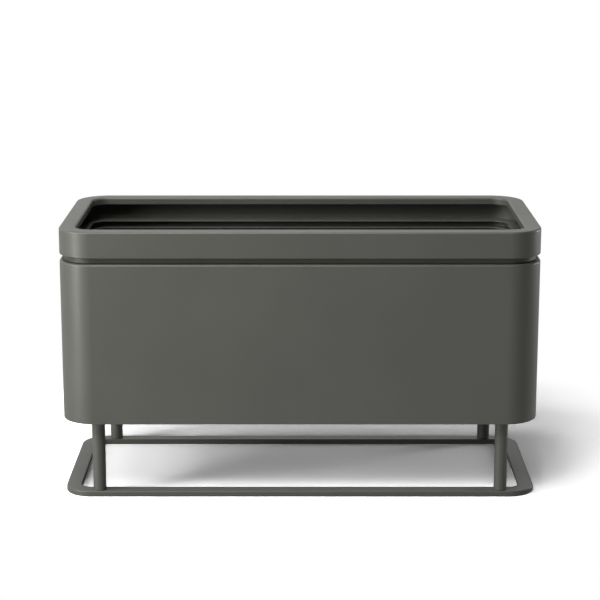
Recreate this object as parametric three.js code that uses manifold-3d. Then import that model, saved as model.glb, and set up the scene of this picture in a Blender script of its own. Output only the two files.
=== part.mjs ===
// A rectangular metal planter box on an open base frame, as separate pieces. Millimetres, +Z up.
// The origin is on the floor under the middle of the box. +X runs along its length, +Y towards its back.
import * as THREE from "three";
import { mergeVertices } from "three/addons/utils/BufferGeometryUtils.js";
import Module from "manifold-3d";

// Rim and body: bands of steel sheet rolled round the corners, with flat plates welded to their edges
const boxLength = 800;
const boxDepth = 360;
const boxCornerRadius = 56;
const sheetThickness = 2;
const rimHeight = 44;
const rimReturn = 12;
const flangeWidth = 28;
const bodyHeight = 272;

// Spacer bar that holds the rim above the body and leaves the shadow gap
const spacerHeight = 10;
const spacerWidth = 12;
const spacerRecess = 8;

// Base frame: one flat ring and four round tubes
const ringEndInset = 0;
const ringSideInset = 20;
const ringCornerRadius = 45;
const ringBarWidth = 25;
const ringBarThickness = 9.5;
const ringEdgeRadius = 1;
const legHeight = 125.6;
const legDiameter = 22;
const legWall = 2;
const legEndInset = 60;
const legPlugLength = 20;

// Discs that stiffen the floor above each leg
const legPadDiameter = 44;
const legPadThickness = 3;

// Glides under the ring
const glideDiameter = 16;
const glideThickness = 3;
const glideProud = 0.3;

// Screws and sealing washers
const legThread = 8;
const legScrewHead = 14;
const legScrewHeadHeight = 4.4;
const legScrewSocket = 5;
const ringScrewHead = 16;
const ringScrewSink = 0.5;
const washerDiameter = 16;
const washerThickness = 1.5;
const spacerThread = 5;
const spacerScrewHead = 9.5;
const spacerScrewHeadHeight = 2.8;
const spacerScrewSocket = 3;
const spacerScrewBite = 8;
const socketDepth = 1.6;
const crownWidth = 0.6;
const crownHeight = 0.6;
const screwsAlongLength = 3;
const spacerScrewEndInset = 110;

// Lift-out liner and its drain plugs
const linerClearance = 4;
const linerWall = 3;
const linerTaper = 4;
const linerLip = 4;
const linerLipHeight = 6;
const linerDrop = 4;
const linerHeadroom = 4.7;
const linerFloorRadius = 12;
const linerFootDiameter = 24;
const linerFeetAlong = 3;
const linerFootEndInset = 150;
const linerFootSideInset = 80;
const drainEndInset = 220;
const drainBore = 20;
const drainCollar = 34;
const drainSpout = 3;
const plugHead = 30;
const plugHeadHeight = 4;
const plugStem = 9;
const plugGrip = 10;
const plugGripHeight = 12;
const mouldedBevel = 1;

// Clearances
const seatGap = 0.2;
const slideGap = 0.3;
const holeClearance = 0.3;
const footClearance = 3.5;
const drainClearance = 2;

// How finely the curves are cut, and how far a cutting shape runs past the surface it cuts
const cutOverrun = 1;
const cornerSteps = 8;
const roundSides = 3;
const roundSteps = 24;
const smallRoundSteps = 12;

// Heights that follow from the sizes above
const ringBottom = glideProud;
const ringTop = ringBottom + ringBarThickness;
const legBottom = ringTop + seatGap;
const legTop = legBottom + legHeight;
const floorBottom = legTop + seatGap;
const floorTop = floorBottom + sheetThickness;
const footTop = floorBottom - seatGap;
const bodyBottom = footTop - sheetThickness;
const bodyTop = bodyBottom + bodyHeight;
const shoulderBottom = bodyTop - sheetThickness;
const spacerBottom = bodyTop + seatGap;
const spacerTop = spacerBottom + spacerHeight;
const rimBottom = spacerTop + seatGap;
const ledgeTop = rimBottom + sheetThickness;
const rimTop = rimBottom + rimHeight;
const rimPlateBottom = rimTop - sheetThickness;
const padBottom = floorTop + seatGap;
const washerBottom = padBottom + legPadThickness + seatGap;
const legScrewSeat = washerBottom + washerThickness + seatGap;
const linerFootBottom = floorTop + seatGap;
const linerBottom = legScrewSeat + legScrewHeadHeight + linerHeadroom;
const linerFloor = linerBottom + linerWall;
const linerTop = shoulderBottom - linerDrop;

// Plans and places that follow from the sizes above
const ringLength = boxLength - 2 * ringEndInset;
const ringDepth = boxDepth - 2 * ringSideInset;
const boxPlan = { length: boxLength, depth: boxDepth, radius: boxCornerRadius };
const ringPlan = { length: ringLength, depth: ringDepth, radius: ringCornerRadius };
const legX = boxLength / 2 - legEndInset;
const legY = (ringDepth - ringBarWidth) / 2;
const bodyFoot = boxDepth / 2 - legY - legDiameter / 2 - footClearance;
const corners = [
  ["front_left", -1, -1],
  ["front_right", 1, -1],
  ["back_left", -1, 1],
  ["back_right", 1, 1],
];

// Evenly spaced places from -reach to reach.
function spread(count, reach) {
  return Array.from({ length: count }, (_, i) => reach * (2 * i / (count - 1) - 1));
}

const wasm = await Module();
wasm.setup();

// Materials
function coatedSteel() {
  return new THREE.MeshStandardMaterial({ color: 0x5a5b55, roughness: 0.5, metalness: 0.1 });
}

function zincSteel() {
  return new THREE.MeshStandardMaterial({ color: 0xb4b6b8, roughness: 0.35, metalness: 0.9 });
}

function blackZinc() {
  return new THREE.MeshStandardMaterial({ color: 0x202122, roughness: 0.45, metalness: 0.6 });
}

function rubber() {
  return new THREE.MeshStandardMaterial({ color: 0x1c1c1b, roughness: 0.85, metalness: 0 });
}

function linerPlastic() {
  return new THREE.MeshStandardMaterial({ color: 0x2a2b29, roughness: 0.6, metalness: 0 });
}

// Geometry helpers

// A rounded rectangle seen from above, anticlockwise, drawn in by an inset from its outer faces.
function outline(plan, inset) {
  const radius = Math.max(plan.radius - inset, 1);
  const x = plan.length / 2 - inset - radius;
  const y = plan.depth / 2 - inset - radius;
  const points = [];
  [[x, -y], [x, y], [-x, y], [-x, -y]].forEach(([cx, cy], quarter) => {
    for (let i = 0; i <= cornerSteps; i++) {
      const angle = (quarter - 1 + i / cornerSteps) * (Math.PI / 2);
      points.push([cx + radius * Math.cos(angle), cy + radius * Math.sin(angle)]);
    }
  });
  return points;
}

// A surface through one outline for each profile point, given as [inset, height].
// A closed profile makes a frame. An open one makes a plate or tray, filled in at both ends.
function skin(plan, profile, closed) {
  const rings = profile.map(([inset, z]) => outline(plan, inset).map(([x, y]) => [x, y, z]));
  const around = rings[0].length;
  const faces = [];
  const bands = closed ? rings.length : rings.length - 1;
  for (let k = 0; k < bands; k++) {
    const low = k * around;
    const high = ((k + 1) % rings.length) * around;
    for (let i = 0; i < around; i++) {
      const next = (i + 1) % around;
      faces.push(low + i, low + next, high + next, low + i, high + next, high + i);
    }
  }
  if (!closed) {
    const end = (rings.length - 1) * around;
    for (let i = 1; i < around - 1; i++) {
      faces.push(0, i + 1, i, end, end + i, end + i + 1);
    }
  }
  const geometry = new THREE.BufferGeometry();
  geometry.setAttribute("position", new THREE.Float32BufferAttribute(rings.flat(2), 3));
  geometry.setIndex(faces);
  geometry.computeVertexNormals();
  return geometry;
}

// Profile of an upright band of sheet whose outer face lies at the given inset.
function band(inset, low, high) {
  const inner = inset + sheetThickness;
  return [[inset, low], [inset, high], [inner, high], [inner, low]];
}

// Profile of a flat plate of sheet, in from the outline by its width, with a quarter-round outer edge.
function plate(width, low, roundedAbove) {
  const high = low + sheetThickness;
  const edge = Array.from({ length: roundSides + 1 }, (_, i) => {
    const angle = (i / roundSides) * (Math.PI / 2);
    const inset = sheetThickness * (1 - Math.cos(angle));
    const rise = sheetThickness * Math.sin(angle);
    return roundedAbove ? [inset, low + rise] : [inset, high - rise];
  });
  return [...(roundedAbove ? edge : edge.reverse()), [width, high], [width, low]];
}

// A round piece about the Z axis. profile runs upwards on its outside, as [radius, height].
function turned(profile, steps) {
  const geometry = new THREE.LatheGeometry(profile.map(([r, z]) => new THREE.Vector2(r, z)), steps);
  return geometry.rotateX(Math.PI / 2);
}

function peg(diameter, low, high, steps) {
  return turned([[0, low], [diameter / 2, low], [diameter / 2, high], [0, high]], steps);
}

function solidOf(geometry) {
  const bare = geometry.clone();
  bare.deleteAttribute("normal");
  bare.deleteAttribute("uv");
  const merged = mergeVertices(bare, 1e-4);
  const vertProperties = merged.attributes.position.array;
  const triVerts = Uint32Array.from(merged.index.array);
  return new wasm.Manifold(new wasm.Mesh({ numProp: 3, vertProperties, triVerts }));
}

function geometryOf(solid) {
  const made = solid.getMesh();
  const geometry = new THREE.BufferGeometry();
  geometry.setAttribute("position", new THREE.BufferAttribute(made.vertProperties, 3));
  geometry.setIndex(new THREE.BufferAttribute(made.triVerts, 1));
  geometry.computeVertexNormals();
  return geometry;
}

// The geometry with other geometries cut out of it.
function cut(geometry, tools) {
  return geometryOf(tools.reduce((solid, tool) => solid.subtract(solidOf(tool)), solidOf(geometry)));
}

function join(geometries) {
  const [first, ...others] = geometries.map(solidOf);
  return geometryOf(others.reduce((solid, other) => solid.add(other), first));
}

const planter = new THREE.Group();

function place(name, geometry, material, position = [0, 0, 0]) {
  const mesh = new THREE.Mesh(geometry, material);
  mesh.name = name;
  mesh.position.set(...position);
  planter.add(mesh);
}

// Rim: a band between two plates, with a short return under the upper plate's inner edge. The lower plate
// shows as a ledge inside the mouth.
const rimBand = band(0, ledgeTop + seatGap, rimPlateBottom - seatGap);
const rimReturnBand = band(flangeWidth - sheetThickness, rimTop - rimReturn, rimPlateBottom - seatGap);
place("rim_ledge", skin(boxPlan, plate(flangeWidth, rimBottom, false), true), coatedSteel());
place("rim_band", skin(boxPlan, rimBand, true), coatedSteel());
place("rim_top", skin(boxPlan, plate(flangeWidth, rimPlateBottom, true), true), coatedSteel());
place("rim_return", skin(boxPlan, rimReturnBand, true), coatedSteel());

// Places and holes of the screws that join body and spacer
const spacerLine = spacerRecess + spacerWidth / 2;
const spacerScrewPlaces = [-1, 1].flatMap((side) => [
  ...spread(screwsAlongLength, boxLength / 2 - spacerScrewEndInset)
    .map((x) => [x, side * (boxDepth / 2 - spacerLine)]),
  [side * (boxLength / 2 - spacerLine), 0],
]);
const spacerHoles = spacerScrewPlaces.map(([x, y]) => peg(
  spacerThread + 2 * holeClearance,
  shoulderBottom - cutOverrun,
  spacerBottom + spacerScrewBite + holeClearance,
  smallRoundSteps,
).translate(x, y, 0));

// Body: a band between a shoulder plate, under the spacer, and a foot plate that carries the floor
const bodyBand = band(0, footTop + seatGap, shoulderBottom - seatGap);
const shoulder = skin(boxPlan, plate(flangeWidth, shoulderBottom, true), true);
place("body_foot", skin(boxPlan, plate(bodyFoot, bodyBottom, false), true), coatedSteel());
place("body_wall", skin(boxPlan, bodyBand, true), coatedSteel());
place("body_shoulder", cut(shoulder, spacerHoles), coatedSteel());

// Spacer: a flat bar bent into a frame, welded under the rim and screwed to the body's shoulder
place("neck_spacer", cut(skin(boxPlan, [
  [spacerRecess, spacerBottom],
  [spacerRecess, spacerTop],
  [spacerRecess + spacerWidth, spacerTop],
  [spacerRecess + spacerWidth, spacerBottom],
], true), spacerHoles), coatedSteel());

// A screw pointing up from its seat at height 0, with a button head and a six-sided socket.
function buttonScrew(thread, head, headHeight, socket, length) {
  const body = turned([
    [0, -headHeight],
    [crownWidth * head / 2, -headHeight],
    [head / 2, (crownHeight - 1) * headHeight],
    [head / 2, 0],
    [thread / 2, 0],
    [thread / 2, length],
    [0, length],
  ], smallRoundSteps);
  return cut(body, [peg(socket, -headHeight - cutOverrun, socketDepth - headHeight, 6)]);
}

// Screws from inside the body, up through its shoulder into the spacer
const spacerScrewSeat = shoulderBottom - seatGap;
const spacerScrewLength = spacerBottom + spacerScrewBite - spacerScrewSeat;
spacerScrewPlaces.forEach(([x, y], i) => {
  const screw = buttonScrew(
    spacerThread,
    spacerScrewHead,
    spacerScrewHeadHeight,
    spacerScrewSocket,
    spacerScrewLength,
  );
  place(`spacer_screw_${i + 1}`, screw, blackZinc(), [x, y, spacerScrewSeat]);
});

// Floor plate, seated on the body's foot, with a hole over each leg and one for each drain of the liner
const floorInset = sheetThickness + slideGap;
const legHole = legThread + 2 * holeClearance;
const drainX = boxLength / 2 - drainEndInset;
const floorHole = (diameter, x, y, steps) =>
  peg(diameter, floorBottom - cutOverrun, floorTop + cutOverrun, steps).translate(x, y, 0);
const legHoles = corners.map(([, sx, sy]) => floorHole(legHole, sx * legX, sy * legY, smallRoundSteps));
const drainHoles = [-drainX, drainX].map((x) =>
  floorHole(drainCollar + 2 * drainClearance, x, 0, roundSteps));
place("floor_plate", cut(skin(boxPlan, [
  [floorInset, floorBottom],
  [floorInset, floorTop],
], false), [...legHoles, ...drainHoles]), coatedSteel());

// Base ring: flat bar with eased edges, countersunk below for the leg screws and pocketed for the glides
const sideBarX = (ringLength - ringBarWidth) / 2;
const glidePlaces = [
  ...[-legY, legY].map((y) => [0, y]),
  ...corners.map(([, sx, sy]) => [sx * sideBarX, sy * (legY - ringCornerRadius)]),
];
const glidePockets = glidePlaces.map(([x, y]) => peg(
  glideDiameter + 2 * slideGap,
  ringBottom - cutOverrun,
  glideThickness + seatGap,
  smallRoundSteps,
).translate(x, y, 0));
const ringScrewSeat = ringBottom + ringScrewSink;
const ringScrewNeck = (ringScrewHead - legThread) / 2;
const countersinks = corners.map(([, sx, sy]) => turned([
  [0, ringBottom - cutOverrun],
  [ringScrewHead / 2 + holeClearance, ringBottom - cutOverrun],
  [ringScrewHead / 2 + holeClearance, ringScrewSeat],
  [legHole / 2, ringScrewSeat + ringScrewNeck],
  [legHole / 2, ringTop + cutOverrun],
  [0, ringTop + cutOverrun],
], smallRoundSteps).translate(sx * legX, sy * legY, 0));
place("base_ring", cut(skin(ringPlan, [
  [ringEdgeRadius, ringBottom],
  [0, ringBottom + ringEdgeRadius],
  [0, ringTop - ringEdgeRadius],
  [ringEdgeRadius, ringTop],
  [ringBarWidth - ringEdgeRadius, ringTop],
  [ringBarWidth, ringTop - ringEdgeRadius],
  [ringBarWidth, ringBottom + ringEdgeRadius],
  [ringBarWidth - ringEdgeRadius, ringBottom],
], true), [...glidePockets, ...countersinks]), coatedSteel());

// Glides pressed into the ring's pockets
glidePlaces.forEach(([x, y], i) => {
  place(`glide_${i + 1}`, peg(glideDiameter, 0, glideThickness, smallRoundSteps), rubber(), [x, y, 0]);
});

// A round sleeve, disc or washer with a hole through it, standing on height 0.
function sleeve(outer, inner, height, steps) {
  return turned([
    [inner / 2, 0],
    [outer / 2, 0],
    [outer / 2, height],
    [inner / 2, height],
    [inner / 2, 0],
  ], steps);
}

// Legs: a tube with a threaded plug in each end, held by one screw from above and one from below
const tubeBore = legDiameter - 2 * legWall;
const plugDiameter = tubeBore - 2 * slideGap;
const screwBite = legPlugLength - holeClearance;
const legScrewLength = legScrewSeat - (legTop - screwBite);
const ringScrewLength = legBottom + screwBite - ringScrewSeat;

function legScrew() {
  const screw = buttonScrew(legThread, legScrewHead, legScrewHeadHeight, legScrewSocket, legScrewLength);
  return screw.rotateX(Math.PI);
}

function countersunkScrew() {
  return cut(turned([
    [0, 0],
    [ringScrewHead / 2, 0],
    [legThread / 2, ringScrewNeck],
    [legThread / 2, ringScrewLength],
    [0, ringScrewLength],
  ], smallRoundSteps), [peg(legScrewSocket, -cutOverrun, socketDepth, 6)]);
}

for (const [corner, sx, sy] of corners) {
  const at = (z) => [sx * legX, sy * legY, z];
  const tube = sleeve(legDiameter, tubeBore, legHeight, roundSteps);
  const plug = () => sleeve(plugDiameter, legHole, legPlugLength, smallRoundSteps);
  const pad = sleeve(legPadDiameter, legHole, legPadThickness, smallRoundSteps);
  const washer = sleeve(washerDiameter, legHole, washerThickness, smallRoundSteps);
  place(`leg_tube_${corner}`, tube, coatedSteel(), at(legBottom));
  place(`leg_top_plug_${corner}`, plug(), zincSteel(), at(legTop - legPlugLength));
  place(`leg_foot_plug_${corner}`, plug(), zincSteel(), at(legBottom));
  place(`leg_pad_${corner}`, pad, zincSteel(), at(padBottom));
  place(`leg_washer_${corner}`, washer, rubber(), at(washerBottom));
  place(`leg_screw_${corner}`, legScrew(), zincSteel(), at(legScrewSeat));
  place(`ring_screw_${corner}`, countersunkScrew(), zincSteel(), at(ringScrewSeat));
}

// Liner: a tapered tub with a lip that clears the mouth. It stands on moulded feet over the floor plate,
// and its drain collars reach down through the plate.
const lipInset = flangeWidth + linerClearance;
const tubTop = lipInset + linerLip;
const tubBottom = tubTop + linerTaper;
const lipEdge = linerLip / 2;
const lipBottom = linerTop - linerLipHeight;

// Profile points of a quarter round from the tub's flat floor up to its wall.
function floorRound(inset, z, radius) {
  return Array.from({ length: roundSides + 1 }, (_, i) => {
    const angle = (i / roundSides) * (Math.PI / 2);
    return [inset + radius - radius * Math.sin(angle), z + radius - radius * Math.cos(angle)];
  });
}

const tub = skin(boxPlan, [
  ...floorRound(tubBottom, linerBottom, linerFloorRadius),
  [tubTop, lipBottom],
  [lipInset, lipBottom],
  [lipInset, linerTop - lipEdge],
  [lipInset + lipEdge, linerTop],
  [tubTop + linerWall - mouldedBevel, linerTop],
  [tubTop + linerWall, linerTop - mouldedBevel],
  ...floorRound(tubBottom + linerWall, linerFloor, linerFloorRadius - linerWall).reverse(),
], false);
const joinHeight = linerBottom + linerWall / 2;
const footX = boxLength / 2 - linerFootEndInset;
const footY = boxDepth / 2 - linerFootSideInset;
const feet = spread(linerFeetAlong, footX).flatMap((x) => [-footY, footY].map((y) =>
  peg(linerFootDiameter, linerFootBottom, joinHeight, smallRoundSteps).translate(x, y, 0)));
const collarBottom = floorBottom - drainSpout;
const collars = [-drainX, drainX].map((x) =>
  peg(drainCollar, collarBottom, joinHeight, roundSteps).translate(x, 0, 0));
const bores = [-drainX, drainX].map((x) =>
  peg(drainBore, collarBottom - cutOverrun, linerFloor + cutOverrun, roundSteps).translate(x, 0, 0));
place("liner", cut(join([tub, ...feet, ...collars]), bores), linerPlastic());

// Drain plugs: a stem in the bore, a flange on the liner's floor and a knob to pull it by
function drainPlug() {
  const stem = drainBore / 2 - slideGap;
  const tip = -plugStem;
  const knobTop = plugHeadHeight + plugGripHeight;
  const knobWaist = plugHeadHeight + plugGripHeight / 2;
  return turned([
    [0, tip],
    [stem - mouldedBevel, tip],
    [stem, tip + mouldedBevel],
    [stem, 0],
    [plugHead / 2, 0],
    [plugHead / 2, plugHeadHeight - mouldedBevel],
    [plugHead / 2 - mouldedBevel, plugHeadHeight],
    [plugGrip / 2 - mouldedBevel, plugHeadHeight],
    [plugGrip / 2 - mouldedBevel, knobWaist],
    [plugGrip / 2, knobWaist + mouldedBevel],
    [plugGrip / 2, knobTop],
    [0, knobTop],
  ], roundSteps);
}

place("drain_plug_left", drainPlug(), rubber(), [-drainX, 0, linerFloor + seatGap]);
place("drain_plug_right", drainPlug(), rubber(), [drainX, 0, linerFloor + seatGap]);

export default planter;
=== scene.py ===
import math

import bpy
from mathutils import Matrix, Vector


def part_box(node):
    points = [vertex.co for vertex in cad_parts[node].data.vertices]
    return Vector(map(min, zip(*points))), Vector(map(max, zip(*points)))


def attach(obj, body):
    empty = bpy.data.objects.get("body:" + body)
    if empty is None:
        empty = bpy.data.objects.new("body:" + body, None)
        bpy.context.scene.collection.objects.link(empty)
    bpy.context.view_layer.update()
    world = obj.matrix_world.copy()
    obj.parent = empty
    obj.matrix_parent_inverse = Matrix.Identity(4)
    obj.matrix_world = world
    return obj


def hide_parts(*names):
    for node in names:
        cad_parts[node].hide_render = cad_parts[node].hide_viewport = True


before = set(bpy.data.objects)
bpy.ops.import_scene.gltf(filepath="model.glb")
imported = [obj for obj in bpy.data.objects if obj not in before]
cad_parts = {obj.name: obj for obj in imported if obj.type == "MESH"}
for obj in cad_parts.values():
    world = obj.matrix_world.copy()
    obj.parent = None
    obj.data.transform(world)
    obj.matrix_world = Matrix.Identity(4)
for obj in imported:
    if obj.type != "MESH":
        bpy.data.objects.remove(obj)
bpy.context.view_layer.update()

# Base ring
# The planter stands on one ring of flat steel bar, bent round at its corners, welded shut, rounded along
# its outer upper edge and powder-coated. Its underside is countersunk for the four leg screws and
# pocketed for the six glides.
corners = ["front_left", "front_right", "back_left", "back_right"]
ring_corner = 0.045
ring_bar = 0.025
ring_edge = 0.0007
ring_outer_edge = 0.002
plan_steps = 20
arc_steps = 5
sharp_from = math.radians(32)


def rounded_section(outline):
    """The points of an outline of (across, height, radius), with an arc of each corner's radius."""
    section = []
    for i, (across, height, radius) in enumerate(outline):
        corner = Vector((across, height))
        if radius == 0:
            section.append(corner)
            continue
        before = (Vector(outline[i - 1][:2]) - corner).normalized()
        after = (Vector(outline[(i + 1) % len(outline)][:2]) - corner).normalized()
        half = before.angle(after) / 2
        centre = corner + (before + after).normalized() * (radius / math.sin(half))
        start = corner + before * (radius / math.tan(half)) - centre
        end = corner + after * (radius / math.tan(half)) - centre
        for step in range(arc_steps + 1):
            section.append(centre + start.lerp(end, step / arc_steps).normalized() * radius)
    return section


def shaded(name, points, faces):
    """A smooth-shaded mesh object, whose edges stay sharp where faces meet at a steep angle."""
    mesh = bpy.data.meshes.new(name)
    mesh.from_pydata(points, [], faces)
    mesh.validate()
    mesh.shade_smooth()
    mesh.set_sharp_from_angle(angle=sharp_from)
    made = bpy.data.objects.new(name, mesh)
    bpy.context.collection.objects.link(made)
    return made


def framed(name, low, high, radius, section, closed=True):
    """A section of (inset, height) swept round the rounded rectangle that two corners of a box give."""
    points = []
    for inset, height in section:
        for quarter in range(4):
            right = quarter in (0, 1)
            back = quarter in (1, 2)
            x = high.x - radius if right else low.x + radius
            y = high.y - radius if back else low.y + radius
            for step in range(plan_steps + 1):
                angle = (quarter - 1 + step / plan_steps) * math.pi / 2
                reach = radius - inset
                points.append((x + reach * math.cos(angle), y + reach * math.sin(angle), height))
    around = 4 * (plan_steps + 1)
    faces = []
    for row in range(len(section) if closed else len(section) - 1):
        above = (row + 1) % len(section)
        for i in range(around):
            j = (i + 1) % around
            faces.append((row * around + i, row * around + j, above * around + j, above * around + i))
    if not closed:
        faces.append(tuple(reversed(range(around))))
        faces.append(tuple(range((len(section) - 1) * around, len(section) * around)))
    return shaded(name, points, faces)


def turned(name, profile, sides=48, closed=False, at=(0, 0, 0)):
    """A round piece about the upright axis through a point, from a profile of (radius, height)."""
    points = []
    rows = []
    for radius, height in profile:
        if radius == 0:
            rows.append([len(points)] * sides)
            points.append((at[0], at[1], at[2] + height))
            continue
        rows.append(list(range(len(points), len(points) + sides)))
        for i in range(sides):
            angle = 2 * math.pi * i / sides
            x = at[0] + radius * math.cos(angle)
            y = at[1] + radius * math.sin(angle)
            points.append((x, y, at[2] + height))
    faces = []
    for low, high in zip(rows, rows[1:] + rows[:1] if closed else rows[1:]):
        for i in range(sides):
            j = (i + 1) % sides
            corners_of_face = dict.fromkeys((low[i], low[j], high[j], high[i]))
            faces.append(tuple(corners_of_face))
    return shaded(name, points, faces)


def reshaped(piece, operation, tool):
    """Joins a tool to a piece, or cuts it out of the piece, and keeps the resulting mesh."""
    change = piece.modifiers.new("change", "BOOLEAN")
    change.operation = operation
    change.solver = "EXACT"
    change.object = tool
    bpy.context.view_layer.update()
    evaluated = piece.evaluated_get(bpy.context.evaluated_depsgraph_get())
    mesh = bpy.data.meshes.new_from_object(evaluated)
    piece.modifiers.clear()
    old = piece.data
    piece.data = mesh
    bpy.data.meshes.remove(old)
    bpy.data.objects.remove(tool)
    mesh.shade_smooth()
    mesh.set_sharp_from_angle(angle=sharp_from)


def evened(piece):
    """Weighs the shading by the faces' area, so that broad faces stay flat up to their rounded edges."""
    weighted = piece.modifiers.new("even_shading", "WEIGHTED_NORMAL")
    weighted.keep_sharp = True


def middle(node_name):
    """The point under the middle of a CAD node, at its lowest height."""
    low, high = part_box(node_name)
    return ((low.x + high.x) / 2, (low.y + high.y) / 2, low.z)


def add_node(tree, kind, inputs=(), **settings):
    """A shader node with its settings, and its inputs given as values or as sockets that feed them."""
    made = tree.nodes.new(kind)
    for key, value in settings.items():
        setattr(made, key, value)
    for socket, value in dict(inputs).items():
        if isinstance(value, bpy.types.NodeSocket):
            tree.links.new(value, made.inputs[socket])
        else:
            made.inputs[socket].default_value = value
    return made


def shader_group(name, inputs, outputs):
    """An empty node group with float inputs, given with their values, and float outputs."""
    tree = bpy.data.node_groups.new(name, "ShaderNodeTree")
    for label, value in inputs.items():
        socket = tree.interface.new_socket(label, in_out="INPUT", socket_type="NodeSocketFloat")
        socket.default_value = value
    for label in outputs:
        tree.interface.new_socket(label, in_out="OUTPUT", socket_type="NodeSocketFloat")
    return tree, tree.nodes.new("NodeGroupInput").outputs, tree.nodes.new("NodeGroupOutput").inputs


# Fine grain of a sprayed, moulded or plated surface: Speckle and Height follow single grains, and
# Cloud drifts slowly over the piece.
grain_group, grain_in, grain_out = shader_group(
    "surface_grain", {"Grain Size": 0.0006, "Cloud Size": 0.15}, ["Speckle", "Height", "Cloud"]
)
place = add_node(grain_group, "ShaderNodeTexCoord").outputs["Object"]
per_grain = add_node(grain_group, "ShaderNodeMath", {
    0: 1.0, 1: grain_in["Grain Size"],
}, operation="DIVIDE")
per_cloud = add_node(grain_group, "ShaderNodeMath", {
    0: 1.0, 1: grain_in["Cloud Size"],
}, operation="DIVIDE")
grains = add_node(grain_group, "ShaderNodeTexNoise", {
    "Vector": place, "Scale": per_grain.outputs[0], "Detail": 2.0, "Roughness": 0.6,
})
swell = add_node(grain_group, "ShaderNodeMath", {0: per_grain.outputs[0], 1: 0.2}, operation="MULTIPLY")
waves = add_node(grain_group, "ShaderNodeTexNoise", {
    "Vector": place, "Scale": swell.outputs[0], "Detail": 1.0,
})
clouds = add_node(grain_group, "ShaderNodeTexNoise", {
    "Vector": place, "Scale": per_cloud.outputs[0], "Detail": 3.0, "Roughness": 0.55,
})
relief = add_node(grain_group, "ShaderNodeMath", {
    0: grains.outputs["Fac"], 1: waves.outputs["Fac"],
}, operation="ADD")
grain_group.links.new(grains.outputs["Fac"], grain_out["Speckle"])
grain_group.links.new(relief.outputs[0], grain_out["Height"])
grain_group.links.new(clouds.outputs["Fac"], grain_out["Cloud"])

# Dust that settles on faces that look up, thicker in soft patches.
dust_group, dust_in, dust_out = shader_group(
    "settled_dust", {"Amount": 0.1, "Patch Size": 0.04}, ["Dust"]
)
place = add_node(dust_group, "ShaderNodeTexCoord").outputs["Object"]
facing = add_node(dust_group, "ShaderNodeSeparateXYZ", {
    0: add_node(dust_group, "ShaderNodeNewGeometry").outputs["Normal"],
})
upward = add_node(dust_group, "ShaderNodeMapRange", {
    "Value": facing.outputs["Z"], "From Min": 0.6, "From Max": 1.0,
})
per_patch = add_node(dust_group, "ShaderNodeMath", {
    0: 1.0, 1: dust_in["Patch Size"],
}, operation="DIVIDE")
patches = add_node(dust_group, "ShaderNodeTexNoise", {
    "Vector": place, "Scale": per_patch.outputs[0], "Detail": 4.0, "Roughness": 0.65,
})
thicker = add_node(dust_group, "ShaderNodeMapRange", {
    "Value": patches.outputs["Fac"], "From Min": 0.35, "From Max": 0.75,
})
lying = add_node(dust_group, "ShaderNodeMath", {
    0: upward.outputs["Result"], 1: thicker.outputs["Result"],
}, operation="MULTIPLY")
dusted = add_node(dust_group, "ShaderNodeMath", {
    0: lying.outputs[0], 1: dust_in["Amount"],
}, operation="MULTIPLY")
dust_group.links.new(dusted.outputs[0], dust_out["Dust"])


def new_finish(name, **shader_values):
    """A material with a Principled BSDF, and its node tree and shader."""
    material = bpy.data.materials.new(name)
    material.use_nodes = True
    tree = material.node_tree
    shader = tree.nodes["Principled BSDF"]
    for socket, value in shader_values.items():
        shader.inputs[socket.replace("_", " ")].default_value = value
    return material, tree, shader


def grained(tree, shader, sizes, tones, roughness, relief_height, dust, dust_tone):
    """Feeds a shader's colour, roughness and normal from the grain and dust groups."""
    grain = add_node(tree, "ShaderNodeGroup", node_tree=grain_group)
    grain.inputs["Grain Size"].default_value = sizes[0]
    grain.inputs["Cloud Size"].default_value = sizes[1]
    film = add_node(tree, "ShaderNodeGroup", node_tree=dust_group)
    film.inputs["Amount"].default_value = dust
    blotch = add_node(tree, "ShaderNodeMath", {
        0: grain.outputs["Cloud"], 1: grain.outputs["Speckle"],
    }, operation="ADD")
    spread = add_node(tree, "ShaderNodeMapRange", {
        "Value": blotch.outputs[0], "From Min": 0.6, "From Max": 1.4,
    })
    colour = add_node(tree, "ShaderNodeMix", {
        "Factor": spread.outputs["Result"], "A": (*tones[0], 1), "B": (*tones[1], 1),
    }, data_type="RGBA")
    colour_with_dust = add_node(tree, "ShaderNodeMix", {
        "Factor": film.outputs["Dust"], "A": colour.outputs["Result"], "B": (*dust_tone, 1),
    }, data_type="RGBA")
    gloss = add_node(tree, "ShaderNodeMapRange", {
        "Value": grain.outputs["Cloud"], "From Min": 0.3, "From Max": 0.7,
        "To Min": roughness[0], "To Max": roughness[1],
    })
    bump = add_node(tree, "ShaderNodeBump", {
        "Height": grain.outputs["Height"], "Strength": 1.0, "Distance": relief_height,
    })
    tree.links.new(colour_with_dust.outputs["Result"], shader.inputs["Base Color"])
    tree.links.new(gloss.outputs["Result"], shader.inputs["Roughness"])
    tree.links.new(bump.outputs["Normal"], shader.inputs["Normal"])


warm_sheen = (1, 1, 0.9, 1)
coat_grain = (0.0007, 0.18)
coat_relief = 0.00003
pale_dust = (0.3, 0.29, 0.27)
powder_coat, tree, shader = new_finish("powder_coat", IOR=1.5, Specular_Tint=warm_sheen)
grained(
    tree, shader, sizes=coat_grain, tones=((0.064, 0.0655, 0.0575), (0.078, 0.08, 0.0705)),
    roughness=(0.4, 0.48), relief_height=coat_relief, dust=0.06, dust_tone=pale_dust,
)

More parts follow.
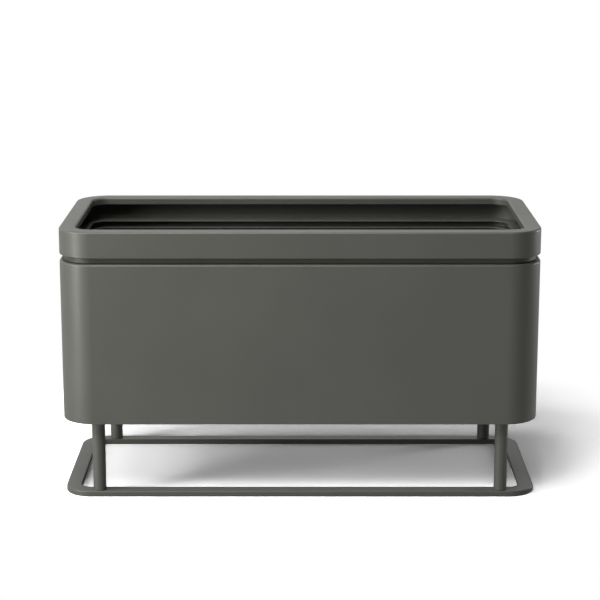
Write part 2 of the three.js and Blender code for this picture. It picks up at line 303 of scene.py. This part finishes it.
ring_low, ring_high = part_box("base_ring")
ring = framed("ring", ring_low, ring_high, ring_corner, rounded_section([
    (0, ring_low.z, ring_edge),
    (0, ring_high.z, ring_outer_edge),
    (ring_bar, ring_high.z, ring_edge),
    (ring_bar, ring_low.z, ring_edge),
]))
screw_hole = 0.0043
screw_sink = 0.0083
sink_depth = 0.0005
drill_length = 0.02
overrun = 0.001
for corner in corners:
    reshaped(ring, "DIFFERENCE", turned("sink", [
        (0, -overrun),
        (screw_sink, -overrun),
        (screw_sink, sink_depth),
        (screw_hole, sink_depth + screw_sink - screw_hole),
        (screw_hole, drill_length),
        (0, drill_length),
    ], at=(*middle(f"leg_tube_{corner}")[:2], ring_low.z)))
pocket = 0.0083
pocket_top = 0.0032
glide_count = 6
for number in range(1, glide_count + 1):
    reshaped(ring, "DIFFERENCE", turned("pocket", [
        (0, -overrun), (pocket, -overrun), (pocket, pocket_top), (0, pocket_top),
    ], at=middle(f"glide_{number}")))
evened(ring)
ring.data.materials.append(powder_coat)
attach(ring, "planter")
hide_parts("base_ring")

# Glides
# Round rubber feet, pressed into the ring's pockets and standing 0.3 mm proud of it.
# Their foot is eased so that the planter slides without marking the floor.
glide_radius = 0.008
glide_height = 0.003
glide_ease = 0.0004
dull_dust = (0.2, 0.19, 0.17)
black_rubber, tree, shader = new_finish("black_rubber", IOR=1.45)
grained(
    tree, shader, sizes=(0.0004, 0.02), tones=((0.012, 0.012, 0.012), (0.022, 0.0215, 0.021)),
    roughness=(0.72, 0.88), relief_height=0.00004, dust=0.25, dust_tone=dull_dust,
)
for number in range(1, glide_count + 1):
    glide = turned(f"glide_foot_{number}", rounded_section([
        (0, 0, 0),
        (glide_radius, 0, glide_ease),
        (glide_radius, glide_height, glide_ease / 2),
        (0, glide_height, 0),
    ]), at=middle(f"glide_{number}"))
    glide.data.materials.append(black_rubber)
    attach(glide, "planter")
    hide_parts(f"glide_{number}")

# Legs
# Round steel tubes, powder-coated, with a threaded zinc-plated plug pressed into each end.
# A countersunk screw comes up from the ring, and a button-head screw with a washer down from the box.
tube_radius = 0.011
tube_wall = 0.002
tube_ease = 0.0004
plug_radius = 0.0087
thread_radius = 0.004
thread_depth = 0.0005
thread_pitch = 0.00125
thread_crest = 0.1
thread_root = 0.6
pad_radius = 0.022
washer_radius = 0.008
head_radius = 0.007
head_height = 0.0044
head_side = 0.00132
head_ease = 0.0006
crown_radius = 0.0042
crown_ease = 0.0012
socket_radius = 0.0025
socket_depth = 0.0016
sunk_head_radius = 0.008
sunk_head_ease = 0.0003


def thread_ribs(radius, low, high, pitch, depth):
    """Profile points of a screw thread's ribs between two heights."""
    turns = int(abs(high - low) / pitch)
    rise = (high - low) / turns
    ribs = []
    for turn in range(turns):
        ribs.append((radius, low + (turn + thread_crest) * rise))
        ribs.append((radius - depth, low + (turn + thread_root) * rise))
    return ribs


def hexagon(radius, low, high, at):
    """A six-sided cutter for the socket of a screw."""
    return turned("hexagon", [(0, low), (radius, low), (radius, high), (0, high)], sides=6, at=at)


zinc_plate, tree, shader = new_finish("zinc_plate", Metallic=1.0)
grained(
    tree, shader, sizes=(0.0008, 0.006), tones=((0.52, 0.53, 0.55), (0.72, 0.73, 0.74)),
    roughness=(0.24, 0.42), relief_height=0.00002, dust=0.05, dust_tone=pale_dust,
)
for corner in corners:
    low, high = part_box(f"leg_tube_{corner}")
    tube = turned(f"tube_{corner}", rounded_section([
        (tube_radius - tube_wall, 0, tube_ease),
        (tube_radius, 0, tube_ease),
        (tube_radius, high.z - low.z, tube_ease),
        (tube_radius - tube_wall, high.z - low.z, tube_ease),
    ]), sides=72, closed=True, at=middle(f"leg_tube_{corner}"))
    evened(tube)
    tube.data.materials.append(powder_coat)
    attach(tube, "planter")
    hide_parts(f"leg_tube_{corner}")
    for part, radius, finish, slot in (
        ("top_plug", plug_radius, zinc_plate, "zinc_plate"),
        ("foot_plug", plug_radius, zinc_plate, "zinc_plate"),
        ("pad", pad_radius, zinc_plate, "zinc_plate"),
        ("washer", washer_radius, black_rubber, "black_rubber"),
    ):
        low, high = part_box(f"leg_{part}_{corner}")
        bored = turned(f"{part}_{corner}", rounded_section([
            (screw_hole, 0, tube_ease),
            (radius, 0, tube_ease),
            (radius, high.z - low.z, tube_ease),
            (screw_hole, high.z - low.z, tube_ease),
        ]), closed=True, at=middle(f"leg_{part}_{corner}"))
        bored.data.materials.append(finish)
        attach(bored, "planter")
        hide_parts(f"leg_{part}_{corner}")
    low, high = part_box(f"leg_screw_{corner}")
    at = middle(f"leg_screw_{corner}")
    top = high.z - low.z
    seat = top - head_height
    screw = turned(f"button_screw_{corner}", [
        (0, 0),
        (thread_radius - thread_depth, 0),
        *thread_ribs(thread_radius, thread_depth, seat - thread_pitch, thread_pitch, thread_depth),
        (thread_radius - thread_depth, seat),
        (head_radius, seat),
        *rounded_section([
            (head_radius, seat + head_side, head_ease),
            (crown_radius, top, crown_ease),
            (0, top, 0),
            (0, seat, 0),
        ])[:-1],
    ], at=at)
    reshaped(screw, "DIFFERENCE", hexagon(socket_radius, top - socket_depth, top + overrun, at))
    screw.data.materials.append(zinc_plate)
    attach(screw, "planter")
    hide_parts(f"leg_screw_{corner}")
    low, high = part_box(f"ring_screw_{corner}")
    at = middle(f"ring_screw_{corner}")
    top = high.z - low.z
    neck = sunk_head_radius - thread_radius
    screw = turned(f"sunk_screw_{corner}", [
        (0, 0),
        (sunk_head_radius - sunk_head_ease, 0),
        (sunk_head_radius, sunk_head_ease),
        (thread_radius, neck),
        *thread_ribs(thread_radius, neck + thread_pitch, top - thread_depth, thread_pitch, thread_depth),
        (thread_radius - thread_depth, top),
        (0, top),
    ], at=at)
    reshaped(screw, "DIFFERENCE", hexagon(socket_radius, -overrun, socket_depth, at))
    screw.data.materials.append(zinc_plate)
    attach(screw, "planter")
    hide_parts(f"ring_screw_{corner}")

# Box body
# Steel sheet, 2 mm thick, folded in at the top as a shoulder and at the bottom as a foot for the floor.
# The corners are rolled, the folds are welded and ground flush there, and all of it is powder-coated.
box_corner = 0.056
sheet = 0.002
upper_fold = 0.0035
lower_fold = 0.0012
cut_edge = 0.0003
shoulder_width = 0.028
foot_width = 0.018
spacer_screw_hole = 0.0028
spacer_screw_count = 8
drill_depth = 0.004


def box_of(*node_names):
    """The lowest and highest corners of several CAD nodes together."""
    boxes = [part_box(name) for name in node_names]
    low = Vector(min(box[0][axis] for box in boxes) for axis in range(3))
    high = Vector(max(box[1][axis] for box in boxes) for axis in range(3))
    return low, high


body_low, body_high = box_of("body_foot", "body_wall", "body_shoulder")
body = framed("box_body", body_low, body_high, box_corner, rounded_section([
    (foot_width, body_low.z, cut_edge),
    (0, body_low.z, lower_fold),
    (0, body_high.z, upper_fold),
    (shoulder_width, body_high.z, cut_edge),
    (shoulder_width, body_high.z - sheet, cut_edge),
    (sheet, body_high.z - sheet, upper_fold - sheet),
    (sheet, body_low.z + sheet, 0),
    (foot_width, body_low.z + sheet, cut_edge),
]))
for number in range(1, spacer_screw_count + 1):
    x, y, _ = middle(f"spacer_screw_{number}")
    reshaped(body, "DIFFERENCE", turned("screw_hole", [
        (0, -drill_depth), (spacer_screw_hole, -drill_depth), (spacer_screw_hole, overrun), (0, overrun),
    ], at=(x, y, body_high.z)))
evened(body)
body.data.materials.append(powder_coat)
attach(body, "planter")
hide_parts("body_foot", "body_wall", "body_shoulder")

# Floor plate
# One flat steel sheet that rests on the body's foot. It is drilled over each leg and for the liner's
# two drains, and powder-coated with the body.
floor_corner = 0.0537
drain_hole = 0.019
floor_low, floor_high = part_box("floor_plate")
floor_plate = framed("floor_sheet", floor_low, floor_high, floor_corner, rounded_section([
    (floor_corner - overrun, floor_low.z, 0),
    (0, floor_low.z, cut_edge),
    (0, floor_high.z, cut_edge),
    (floor_corner - overrun, floor_high.z, 0),
]), closed=False)
holes = [(f"leg_screw_{corner}", screw_hole) for corner in corners]
holes += [(f"drain_plug_{side}", drain_hole) for side in ("left", "right")]
for carried, radius in holes:
    x, y, _ = middle(carried)
    reshaped(floor_plate, "DIFFERENCE", turned("hole", [
        (0, -drill_depth), (radius, -drill_depth), (radius, overrun), (0, overrun),
    ], at=(x, y, floor_high.z)))
floor_plate.data.materials.append(powder_coat)
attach(floor_plate, "planter")
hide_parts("floor_plate")

# Neck spacer
# A flat steel bar, set back from the walls, holds the rim above the body and leaves the dark line
# between them. It is welded under the rim and held from below by eight screws through the body's
# shoulder. Its coat is the body's powder coat drawn at about half its tone and more matt: painted shade,
# for the shade that falls in the recess under the rim.
spacer_corner = 0.048
spacer_width = 0.012
spacer_edge = 0.0016
spacer_hole_top = 0.0083
spacer_low, spacer_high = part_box("neck_spacer")
spacer = framed("neck_bar", spacer_low, spacer_high, spacer_corner, rounded_section([
    (0, spacer_low.z, spacer_edge),
    (0, spacer_high.z, spacer_edge),
    (spacer_width, spacer_high.z, spacer_edge),
    (spacer_width, spacer_low.z, spacer_edge),
]))
for number in range(1, spacer_screw_count + 1):
    x, y, _ = middle(f"spacer_screw_{number}")
    reshaped(spacer, "DIFFERENCE", turned("screw_hole", [
        (0, -overrun),
        (spacer_screw_hole, -overrun),
        (spacer_screw_hole, spacer_hole_top),
        (0, spacer_hole_top),
    ], at=(x, y, spacer_low.z)))
evened(spacer)
# Painted shade: the body's powder coat at about half its tone and rougher, standing in for the shade in
# the recess under the rim.
painted_shade_coat, tree, shader = new_finish("painted_shade_coat", IOR=1.5, Specular_Tint=warm_sheen)
grained(
    tree, shader, sizes=coat_grain, tones=((0.034, 0.0348, 0.0302), (0.042, 0.043, 0.0374)),
    roughness=(0.46, 0.54), relief_height=coat_relief, dust=0.06, dust_tone=dull_dust,
)
spacer.data.materials.append(painted_shade_coat)
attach(spacer, "planter")
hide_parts("neck_spacer")

# Spacer screws
# Small button-head screws with a six-sided socket, driven up from inside the box. They are plated with
# black zinc, so that they don't show in the gap above the liner.
small_thread_radius = 0.0025
small_thread_pitch = 0.0008
small_thread_depth = 0.0003
small_head_radius = 0.00475
small_head_height = 0.0028
small_head_ease = 0.0004
small_crown_radius = 0.00285
small_crown_height = 0.00196
small_crown_ease = 0.0008
small_socket_radius = 0.0015
black_zinc, tree, shader = new_finish("black_zinc", Metallic=0.6)
grained(
    tree, shader, sizes=(0.0006, 0.005), tones=((0.012, 0.012, 0.013), (0.024, 0.024, 0.026)),
    roughness=(0.36, 0.5), relief_height=0.00002, dust=0.05, dust_tone=dull_dust,
)
for number in range(1, spacer_screw_count + 1):
    low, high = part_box(f"spacer_screw_{number}")
    at = middle(f"spacer_screw_{number}")
    top = high.z - low.z
    screw = turned(f"neck_screw_{number}", [
        *rounded_section([
            (0, 0, 0),
            (small_crown_radius, 0, small_crown_ease),
            (small_head_radius, small_crown_height, small_head_ease),
            (small_head_radius, small_head_height, 0),
        ]),
        (small_thread_radius, small_head_height),
        *thread_ribs(
            small_thread_radius, small_head_height + small_thread_pitch, top - small_thread_depth,
            small_thread_pitch, small_thread_depth,
        ),
        (small_thread_radius - small_thread_depth, top),
        (0, top),
    ], sides=36, at=at)
    reshaped(screw, "DIFFERENCE", hexagon(small_socket_radius, -overrun, socket_depth, at))
    screw.data.materials.append(black_zinc)
    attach(screw, "planter")
    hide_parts(f"spacer_screw_{number}")

# Rim
# A deep channel of the same sheet that faces inwards: a ledge below, a flat top and a short return
# that stiffens it. It is rolled round the corners, welded, ground flush and powder-coated.
rim_width = 0.028
rim_return = 0.012
rim_low, rim_high = box_of("rim_ledge", "rim_band", "rim_top", "rim_return")
rim = framed("rim_channel", rim_low, rim_high, box_corner, rounded_section([
    (rim_width, rim_low.z, cut_edge),
    (0, rim_low.z, lower_fold),
    (0, rim_high.z, upper_fold),
    (rim_width, rim_high.z, upper_fold),
    (rim_width, rim_high.z - rim_return, cut_edge),
    (rim_width - sheet, rim_high.z - rim_return, cut_edge),
    (rim_width - sheet, rim_high.z - sheet, upper_fold - sheet),
    (sheet, rim_high.z - sheet, upper_fold - sheet),
    (sheet, rim_low.z + sheet, 0),
    (rim_width, rim_low.z + sheet, cut_edge),
]))
evened(rim)
rim.data.materials.append(powder_coat)
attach(rim, "planter")
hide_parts("rim_ledge", "rim_band", "rim_top", "rim_return")

# Drain plugs
# Two soft rubber plugs close the liner's drains. Each has a stem in the drain, a flange on the liner's
# floor and a knob to pull it by, and is moulded in one piece.
plug_stem = 0.009
stem_radius = 0.0097
flange_radius = 0.015
flange_height = 0.004
knob_radius = 0.005
knob_waist = 0.004
moulded_ease = 0.0008
for side in ("left", "right"):
    low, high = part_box(f"drain_plug_{side}")
    top = high.z - low.z
    flange_top = plug_stem + flange_height
    plug = turned(f"rubber_plug_{side}", rounded_section([
        (0, 0, 0),
        (stem_radius, 0, moulded_ease),
        (stem_radius, plug_stem, moulded_ease / 4),
        (flange_radius, plug_stem, moulded_ease / 2),
        (flange_radius, flange_top, 2 * moulded_ease),
        (knob_waist, flange_top, moulded_ease),
        (knob_waist, (flange_top + top) / 2, moulded_ease),
        (knob_radius, (flange_top + top) / 2 + moulded_ease, moulded_ease / 2),
        (knob_radius, top, 2 * moulded_ease),
        (0, top, 0),
    ]), sides=64, at=middle(f"drain_plug_{side}"))
    evened(plug)
    plug.data.materials.append(black_rubber)
    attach(plug, f"drain_plug_{side}")
    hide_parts(f"drain_plug_{side}")

# Liner
# A lift-out tub of dark moulded plastic, slightly tapered, with a stiff rolled lip. It stands on six
# round feet, and two drain collars on its floor reach down through the floor plate.
tub_corner = 0.024
tub_wall = 0.003
tub_lip = 0.004
tub_lip_height = 0.006
tub_taper = 0.004
tub_floor_radius = 0.012
tub_foot_radius = 0.012
tub_foot_places = [(x, y) for x in (-0.25, 0, 0.25) for y in (-0.1, 0.1)]
collar_radius = 0.017
drain_radius = 0.01
seat_gap = 0.0002
tub_low, tub_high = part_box("liner")
tub_foot_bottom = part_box("floor_plate")[1].z + seat_gap
tub_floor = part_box("drain_plug_left")[0].z + plug_stem - seat_gap
tub_bottom = tub_floor - tub_wall
middle_inset = tub_corner - overrun
tub = framed("tub", tub_low, tub_high, tub_corner, rounded_section([
    (middle_inset, tub_bottom, 0),
    (tub_lip + tub_taper, tub_bottom, tub_floor_radius),
    (tub_lip, tub_high.z - tub_lip_height, moulded_ease),
    (0, tub_high.z - tub_lip_height, moulded_ease),
    (0, tub_high.z, tub_lip / 2),
    (tub_lip + tub_wall, tub_high.z, 1.5 * moulded_ease),
    (tub_lip + tub_taper + tub_wall, tub_floor, tub_floor_radius - tub_wall),
    (middle_inset, tub_floor, 0),
]), closed=False)
inside_floor = (tub_bottom + tub_floor) / 2
for x, y in tub_foot_places:
    reshaped(tub, "UNION", turned("tub_foot", rounded_section([
        (0, tub_foot_bottom, 0),
        (tub_foot_radius, tub_foot_bottom, moulded_ease),
        (tub_foot_radius, inside_floor, 0),
        (0, inside_floor, 0),
    ]), at=(x, y, 0)))
for side in ("left", "right"):
    x, y, _ = middle(f"drain_plug_{side}")
    reshaped(tub, "UNION", turned("collar", rounded_section([
        (0, tub_low.z, 0),
        (collar_radius, tub_low.z, moulded_ease),
        (collar_radius, inside_floor, 0),
        (0, inside_floor, 0),
    ]), sides=64, at=(x, y, 0)))
    reshaped(tub, "DIFFERENCE", turned("drain", [
        (0, tub_low.z - overrun),
        (drain_radius, tub_low.z - overrun),
        (drain_radius, tub_floor + overrun),
        (0, tub_floor + overrun),
    ], sides=64, at=(x, y, 0)))
evened(tub)
liner_plastic, tree, shader = new_finish("liner_plastic", IOR=1.49)
grained(
    tree, shader, sizes=(0.0011, 0.09), tones=((0.01, 0.0103, 0.0097), (0.017, 0.0173, 0.0165)),
    roughness=(0.58, 0.72), relief_height=0.00006, dust=0.08, dust_tone=dull_dust,
)
tub.data.materials.append(liner_plastic)
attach(tub, "liner")
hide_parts("liner")

# Floor
# A plain pale studio floor. Away from the planter it is as white as the backdrop, and near it the
# planter's shadow falls on it. It looks brighter to the camera than in the light that it throws back.
floor_reach = 20
floor_tone = 0.4
floor_tone_seen = 1.72
floor_glow = 0.015
floor_reflected = 0.62
shadow_middle = (0, 0.2, 0)
shadow_reach = 0.46
white_from = 0.7
studio_floor = shaded("studio_floor", [
    (-floor_reach, -floor_reach, 0),
    (floor_reach, -floor_reach, 0),
    (floor_reach, floor_reach, 0),
    (-floor_reach, floor_reach, 0),
], [(0, 1, 2, 3)])
pale_floor = bpy.data.materials.new("pale_floor")
pale_floor.use_nodes = True
tree = pale_floor.node_tree
tree.nodes.remove(tree.nodes["Principled BSDF"])
place = add_node(tree, "ShaderNodeTexCoord").outputs["Object"]
away = add_node(tree, "ShaderNodeVectorMath", {0: place, 1: shadow_middle}, operation="DISTANCE")
far = add_node(tree, "ShaderNodeMapRange", {
    "Value": away.outputs["Value"], "From Min": shadow_reach, "From Max": white_from,
}, interpolation_type="SMOOTHSTEP")
rays = add_node(tree, "ShaderNodeLightPath").outputs
shown = add_node(tree, "ShaderNodeMath", {
    0: rays["Is Camera Ray"], 1: rays["Is Glossy Ray"],
}, operation="MAXIMUM")
white_here = add_node(tree, "ShaderNodeMath", {
    0: far.outputs["Result"], 1: shown.outputs[0],
}, operation="MULTIPLY")
white_level = add_node(tree, "ShaderNodeMix", {
    "Factor": rays["Is Camera Ray"], "A": floor_reflected, "B": 1.0,
}, data_type="FLOAT")
glow_here = add_node(tree, "ShaderNodeMath", {
    0: floor_glow, 1: rays["Is Camera Ray"],
}, operation="MULTIPLY")
tone = add_node(tree, "ShaderNodeMix", {
    "Factor": rays["Is Camera Ray"], "A": floor_tone, "B": floor_tone_seen,
}, data_type="FLOAT")
matt = add_node(tree, "ShaderNodeBsdfDiffuse", {"Color": tone.outputs["Result"]})
white = add_node(tree, "ShaderNodeEmission", {
    "Color": (1, 1, 1, 1), "Strength": white_level.outputs["Result"],
})
glow = add_node(tree, "ShaderNodeEmission", {
    "Color": (1, 1, 1, 1), "Strength": glow_here.outputs[0],
})
near_floor = add_node(tree, "ShaderNodeAddShader", {0: matt.outputs[0], 1: glow.outputs[0]})
whole_floor = add_node(tree, "ShaderNodeMixShader", {
    0: white_here.outputs[0], 1: near_floor.outputs[0], 2: white.outputs[0],
})
tree.links.new(whole_floor.outputs[0], tree.nodes["Material Output"].inputs["Surface"])
studio_floor.data.materials.append(pale_floor)

# Backdrop
# A plain studio backdrop, white to the camera. In the planter's finish it shows nearly white from the
# back and from above, grey from the left, and dark from the front and the right. It adds little light.
backdrop = bpy.data.worlds.new("backdrop")
bpy.context.scene.world = backdrop
backdrop.use_nodes = True
tree = backdrop.node_tree
fill_level = 0.029
reflected_level = 0.1
towards_right = -0.47
towards_back = 0.62
upwards = 0.6
direction = add_node(tree, "ShaderNodeTexCoord").outputs["Generated"]
slope = add_node(tree, "ShaderNodeVectorMath", {
    0: direction, 1: (towards_right, towards_back, upwards),
}, operation="DOT_PRODUCT")
reflected = add_node(tree, "ShaderNodeMath", {
    0: slope.outputs["Value"], 1: reflected_level,
}, operation="ADD", use_clamp=True)
rays = add_node(tree, "ShaderNodeLightPath").outputs
unseen = add_node(tree, "ShaderNodeMix", {
    "Factor": rays["Is Glossy Ray"], "A": fill_level, "B": reflected.outputs[0],
}, data_type="FLOAT")
level = add_node(tree, "ShaderNodeMix", {
    "Factor": rays["Is Camera Ray"], "A": unseen.outputs["Result"], "B": 1.0,
}, data_type="FLOAT")
tree.links.new(level.outputs["Result"], tree.nodes["Background"].inputs["Strength"])
tree.nodes["Background"].inputs["Color"].default_value = (1, 1, 1, 1)


# Lamps
# Most of the light comes from four softboxes on the left and three high in front. Weaker ones hang over
# the planter and in front of it, and one stands low behind on the right.
def softbox(name, at, aim, size, power):
    """A soft square lamp at a place, turned towards another."""
    lamp = bpy.data.lights.new(name, "AREA")
    lamp.shape = "SQUARE"
    lamp.size = size
    lamp.energy = power
    made = bpy.data.objects.new(name, lamp)
    made.location = at
    made.rotation_euler = (Vector(aim) - Vector(at)).to_track_quat("-Z", "Y").to_euler()
    made.visible_camera = False
    bpy.context.collection.objects.link(made)


softbox("softbox_far_left", at=(-3, -1.6, 1.5), aim=(0, 0, 0.25), size=0.8, power=39.2)
softbox("softbox_front_left", at=(-3, -2.4, 0.8), aim=(0, 0, 0.2), size=0.8, power=33.7)
softbox("softbox_left", at=(-2.2, -0.8, 1.5), aim=(0, 0, 0.25), size=0.6, power=14.3)
softbox("softbox_low", at=(-1.6, -1, 0.3), aim=(0, 0, 0.15), size=0.4, power=9.5)
softbox("softbox_high_left", at=(-2.4, -2.4, 3.2), aim=(0, 0, 0.2), size=1, power=33.3)
softbox("softbox_high", at=(-1.2, -2.4, 3.2), aim=(0, 0, 0.2), size=1, power=17.1)
softbox("softbox_high_front", at=(0, -2.4, 3.2), aim=(0, 0, 0.2), size=1, power=19.4)
softbox("softbox_over_front", at=(-0.5, -1.4, 2.26), aim=(-0.5, -1.4, 0), size=0.4, power=11.7)
softbox("softbox_over_left", at=(-0.5, -0.6, 2.26), aim=(-0.5, -0.6, 0), size=0.4, power=10)
softbox("softbox_over", at=(0, 0, 2.26), aim=(0, 0, 0), size=0.3, power=6.3)
softbox("softbox_right", at=(2.4, 0.9, 0.6), aim=(0, 0, 0.25), size=0.6, power=19)

# Camera
# It stands square in front of the planter, a little above it, and looks slightly down. The long lens
# keeps the planter's edges nearly parallel.
camera_distance = 3.1057
camera_height = 1.022
looking_down = math.radians(12.99)
camera = bpy.data.cameras.new("camera")
camera.sensor_width = 36
camera.lens = 109.7
viewpoint = bpy.data.objects.new("camera", camera)
viewpoint.location = (0, -camera_distance, camera_height)
viewpoint.rotation_euler = (math.pi / 2 - looking_down, 0, 0)
bpy.context.collection.objects.link(viewpoint)
bpy.context.scene.camera = viewpoint
bpy.context.scene.view_settings.view_transform = "Standard"
